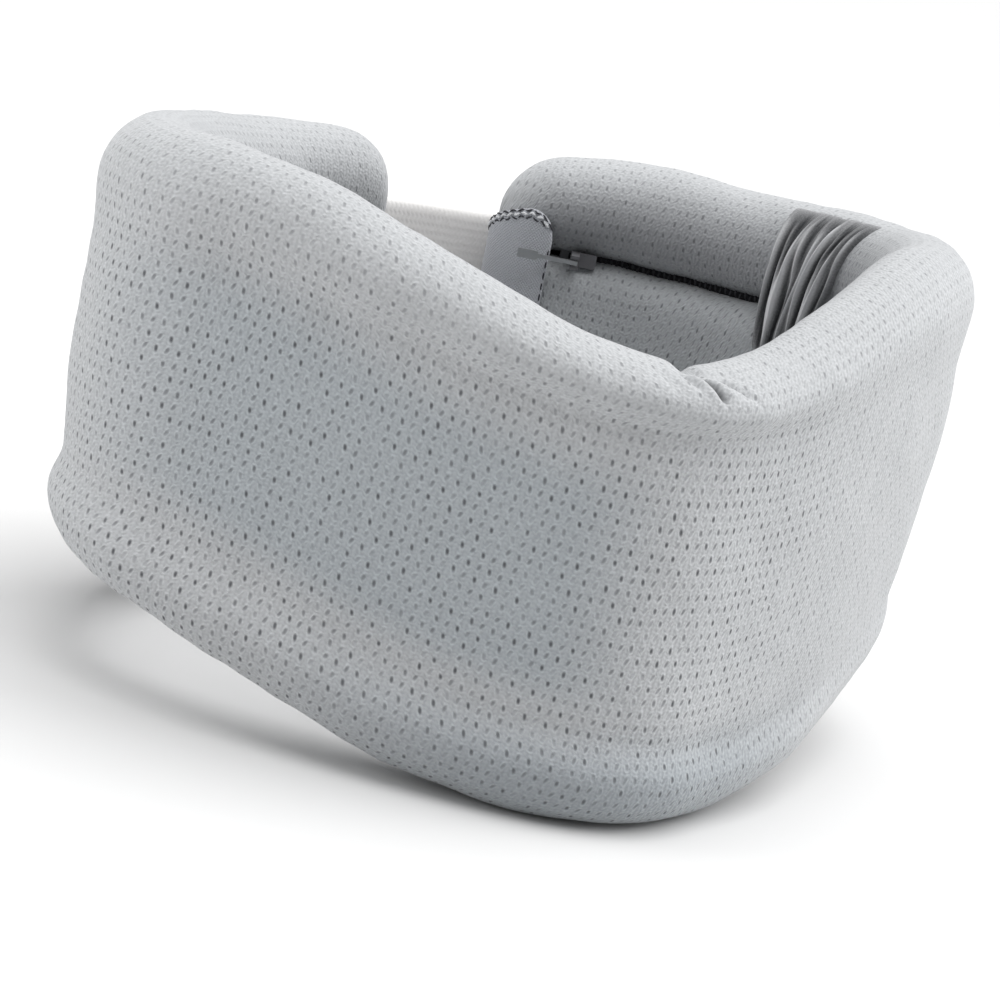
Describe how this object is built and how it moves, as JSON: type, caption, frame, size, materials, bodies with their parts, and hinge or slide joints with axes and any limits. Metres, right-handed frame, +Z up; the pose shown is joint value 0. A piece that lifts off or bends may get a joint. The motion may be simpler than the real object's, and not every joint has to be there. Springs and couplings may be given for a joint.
{
  "type": "soft cervical collar",
  "caption": "Soft foam neck collar in a zipped spacer-knit cover, with stiffened walls, flexing side arms and a hook-and-loop strap that closes it at the back.",
  "frame": {"origin": "middle of the footprint, on the surface the collar stands on", "axes": "+Z up along the neck, -Y towards the chin, +X to the right seen from the front"},
  "size_m": [0.1672, 0.1497, 0.097],
  "materials": {
    "cover_knit": "matte",
    "lining_knit": "matte",
    "foam": "matte",
    "plate": "satin",
    "strap": "matte",
    "tip": "satin",
    "hook_tape": "matte",
    "loop_pile": "matte",
    "tab_fabric": "matte",
    "thread": "satin",
    "zip_tape": "matte",
    "zip_coil": "satin",
    "zip_metal": "satin"
  },
  "bodies": {
    "front": {"front_cover": "cover_knit", "front_lining": "lining_knit", "front_top_roll": "foam", "front_core_pad": "foam", "front_bottom_roll": "foam", "front_support_plate": "plate"},
    "left_arm": {"left_cover": "cover_knit", "left_lining": "lining_knit", "left_top_roll": "foam", "left_core_pad": "foam", "left_bottom_roll": "foam", "left_support_plate": "plate", "left_end_gusset": "cover_knit", "loop_patch": "loop_pile", "loop_patch_stitching": "thread"},
    "right_arm": {"right_cover": "cover_knit", "right_lining": "lining_knit", "right_top_roll": "foam", "right_core_pad": "foam", "right_bottom_roll": "foam", "right_support_plate": "plate", "right_end_gusset": "cover_knit", "right_end_tab": "tab_fabric", "right_tab_stitching": "thread", "zip_tape": "zip_tape", "zip_coil": "zip_coil", "zip_stops": "zip_metal", "strap_anchor": "strap", "anchor_stitching": "thread"},
    "strap": {"strap_web": "strap", "hook_patch": "hook_tape", "patch_stitching": "thread"},
    "strap_tip": {"strap_tip": "tip"},
    "zip_slider": {"zip_slider": "zip_metal"},
    "zip_pull": {"zip_pull": "zip_metal"}
  },
  "joints": [
    {"name": "right_flex", "type": "hinge", "parent": "front", "child": "right_arm", "pos_m": [0.08362, -0.00481, 0], "axis": [0, 0, -1], "range_deg": [0, 35], "stiffness_Nm_per_rad": 0.3},
    {"name": "left_flex", "type": "hinge", "parent": "front", "child": "left_arm", "pos_m": [-0.08362, -0.00481, 0], "axis": [0, 0, 1], "range_deg": [0, 35], "stiffness_Nm_per_rad": 0.3},
    {"name": "strap_fold", "type": "hinge", "parent": "right_arm", "child": "strap", "pos_m": [0.0228, 0.07029, 0], "axis": [0, 0, -1], "range_deg": [0, 110]},
    {"name": "tip_fold", "type": "hinge", "parent": "strap", "child": "strap_tip", "pos_m": [-0.06644, 0.04639, 0], "axis": [0, 0, -1], "range_deg": [0, 75], "stiffness_Nm_per_rad": 0.005},
    {"name": "zip_travel", "type": "hinge", "parent": "right_arm", "child": "zip_slider", "pos_m": [0, -0.01579, 0.074], "axis": [0, 0, -1], "range_deg": [0, 26]},
    {"name": "pull_swing", "type": "hinge", "parent": "zip_slider", "child": "zip_pull", "pos_m": [0.02343, 0.04319, 0.074], "axis": [0, 0, 1], "range_deg": [0, 150]}
  ],
  "couplings": [
    {"joint": "left_flex", "follows": "right_flex", "ratio": 1}
  ]
}
